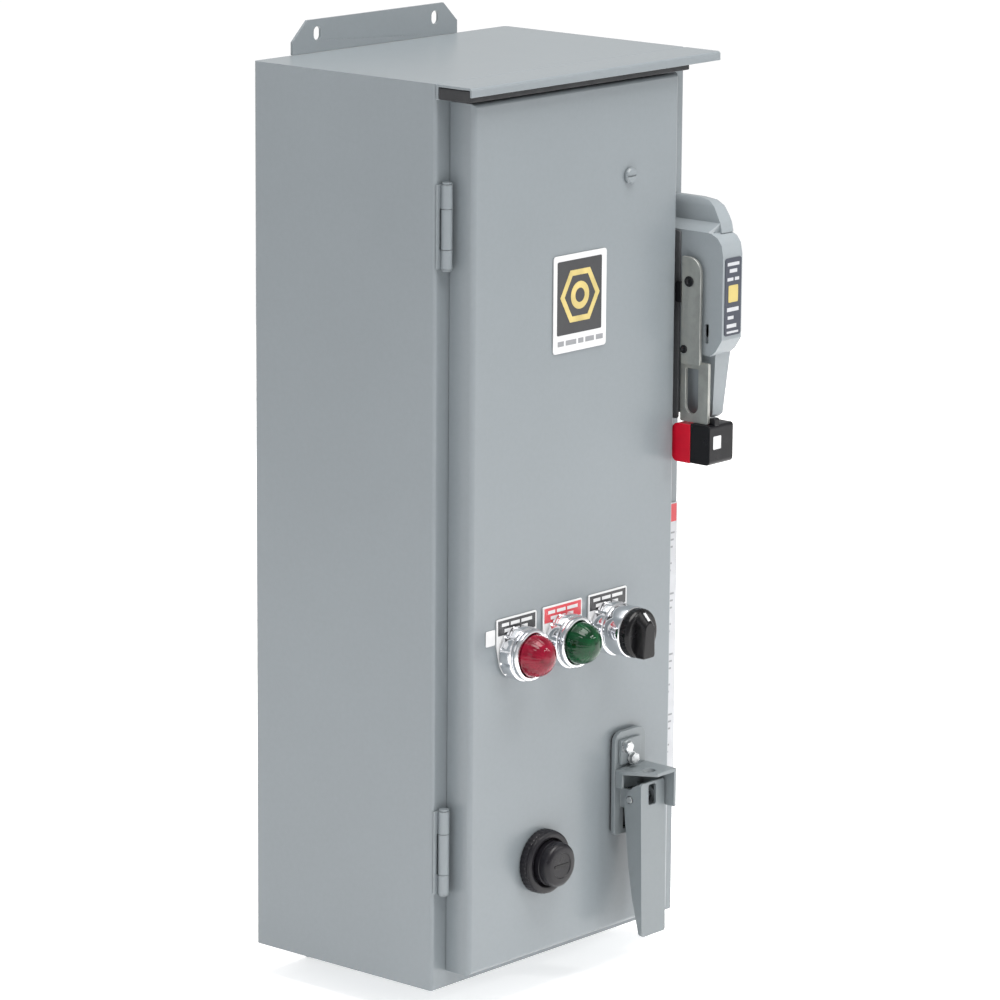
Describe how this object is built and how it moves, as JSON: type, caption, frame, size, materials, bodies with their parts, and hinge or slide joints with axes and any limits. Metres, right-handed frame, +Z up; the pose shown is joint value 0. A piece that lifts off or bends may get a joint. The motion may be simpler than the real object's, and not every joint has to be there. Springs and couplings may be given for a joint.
{
  "type": "magnetic motor starter",
  "caption": "Wall-mounted gray sheet-steel motor starter enclosure with hinged door, drip hood, side disconnect handle, pilot lights, selector knob, reset button and latch.",
  "frame": {"origin": "centre of the enclosure's back face, on the wall plane", "axes": "+Z up the enclosure, +Y into the wall, +X to the right of a person facing the door"},
  "size_m": [0.284, 0.2468, 0.73],
  "materials": {
    "gray_enamel": "satin baked enamel, light gray",
    "zinc_plate": "bright zinc plate",
    "spring_steel": "drawn spring wire",
    "lever_steel": "dull passivated steel",
    "panel_white": "white enamel",
    "moulded_black": "moulded phenolic, matte",
    "gloss_black": "moulded plastic, semi-gloss",
    "grip_red": "moulded plastic, semi-gloss",
    "coil_red": "varnished coil",
    "lamination": "varnished laminations",
    "winding": "enamelled copper under varnish",
    "terminal_cream": "moulded plastic",
    "brass": "drawn bar",
    "wire_black": "insulated wire",
    "gasket_foam": "closed-cell foam",
    "chrome_ring": "polished chrome plate",
    "lens_red": "tinted moulded lens",
    "lens_green": "tinted moulded lens",
    "legend_plate": "printed aluminium plate",
    "nameplate": "printed film plate"
  },
  "bodies": {
    "enclosure": {"enclosure_box": "gray_enamel", "upper_mounting_flange": "gray_enamel", "lower_mounting_flange": "gray_enamel", "drip_hood": "gray_enamel", "upper_hinge_box_leaf": "gray_enamel", "upper_hinge_pin": "gray_enamel", "lower_hinge_box_leaf": "gray_enamel", "lower_hinge_pin": "gray_enamel", "latch_keeper": "zinc_plate", "mounting_panel": "panel_white", "breaker_riser": "zinc_plate", "circuit_breaker_case": "moulded_black", "contactor_base": "moulded_black", "contactor_coil": "coil_red", "contactor_arc_cover": "moulded_black", "overload_relay_case": "moulded_black", "transformer_core": "lamination", "transformer_winding": "winding", "terminal_block": "terminal_cream", "ground_bar": "brass", "power_lead_left": "wire_black", "power_lead_centre": "wire_black", "power_lead_right": "wire_black", "yoke_guide": "zinc_plate", "operator_housing": "gray_enamel"},
    "handle": {"handle_lever": "lever_steel", "padlock_plate": "lever_steel", "handle_grip": "gloss_black", "handle_grip_insert": "grip_red", "handle_crank": "zinc_plate"},
    "yoke": {"breaker_yoke": "zinc_plate"},
    "toggle": {"breaker_toggle": "moulded_black"},
    "armature": {"contactor_armature": "moulded_black"},
    "plunger": {"overload_plunger": "grip_red"},
    "selector": {"selector_knob": "gloss_black"},
    "reset": {"reset_button": "gloss_black", "reset_spring": "spring_steel"},
    "defeat": {"defeat_screw": "zinc_plate"},
    "latch": {"latch_handle": "gray_enamel", "latch_hook": "zinc_plate"},
    "door": {"door_gasket": "gasket_foam", "door_panel": "gray_enamel", "green_pilot_body": "moulded_black", "green_pilot_legend_plate": "legend_plate", "green_pilot_lens": "lens_green", "green_pilot_ring_nut": "chrome_ring", "latch_base_plate": "gray_enamel", "latch_hasp": "gray_enamel", "latch_pivot_pin": "zinc_plate", "lower_hinge_door_leaf": "gray_enamel", "nameplate": "nameplate", "red_pilot_body": "moulded_black", "red_pilot_legend_plate": "legend_plate", "red_pilot_lens": "lens_red", "red_pilot_ring_nut": "chrome_ring", "reset_bezel": "gloss_black", "selector_contact_block": "moulded_black", "selector_legend_plate": "legend_plate", "selector_ring_nut": "chrome_ring", "upper_hinge_door_leaf": "gray_enamel"}
  },
  "joints": [
    {"name": "door_hinge", "type": "hinge", "parent": "enclosure", "child": "door", "pos_m": [-0.1344, -0.1846, 0], "axis": [0, 0, -1], "range_deg": [0, 130]},
    {"name": "latch_pull", "type": "hinge", "parent": "door", "child": "latch", "pos_m": [0.0495, -0.221, -0.222], "axis": [-1, 0, 0], "range_deg": [0, 40]},
    {"name": "handle_throw", "type": "hinge", "parent": "enclosure", "child": "handle", "pos_m": [0.112, -0.214, 0.168], "axis": [-1, 0, 0], "range_deg": [0, 160]},
    {"name": "yoke_slide", "type": "slide", "parent": "enclosure", "child": "yoke", "axis": [0, 0, 1], "range_m": [0, 0.02374]},
    {"name": "toggle_swing", "type": "hinge", "parent": "enclosure", "child": "toggle", "pos_m": [0.033, -0.128, 0.168], "axis": [-1, 0, 0], "range_deg": [0, 45.1]},
    {"name": "selector_turn", "type": "hinge", "parent": "door", "child": "selector", "pos_m": [0.028, -0.232, -0.0868], "axis": [0, 1, 0], "range_deg": [-45, 45]},
    {"name": "reset_push", "type": "slide", "parent": "door", "child": "reset", "axis": [0, 1, 0], "range_m": [0, 0.0055], "stiffness_N_per_m": 600, "deforming": ["reset_spring"]},
    {"name": "plunger_push", "type": "slide", "parent": "enclosure", "child": "plunger", "axis": [0, 1, 0], "range_m": [0, 0.0055]},
    {"name": "armature_pull", "type": "slide", "parent": "enclosure", "child": "armature", "axis": [0, 1, 0], "range_m": [0, 0.006], "stiffness_N_per_m": 500},
    {"name": "defeat_turn", "type": "hinge", "parent": "door", "child": "defeat", "pos_m": [0.0488, -0.205, 0.255], "axis": [0, 1, 0], "range_deg": [0, 90]}
  ],
  "couplings": [
    {"joint": "yoke_slide", "follows": "handle_throw", "m_per_rad": 0.0084638},
    {"joint": "toggle_swing", "follows": "handle_throw", "ratio": 0.28125},
    {"joint": "plunger_push", "follows": "reset_push", "ratio": 1}
  ]
}
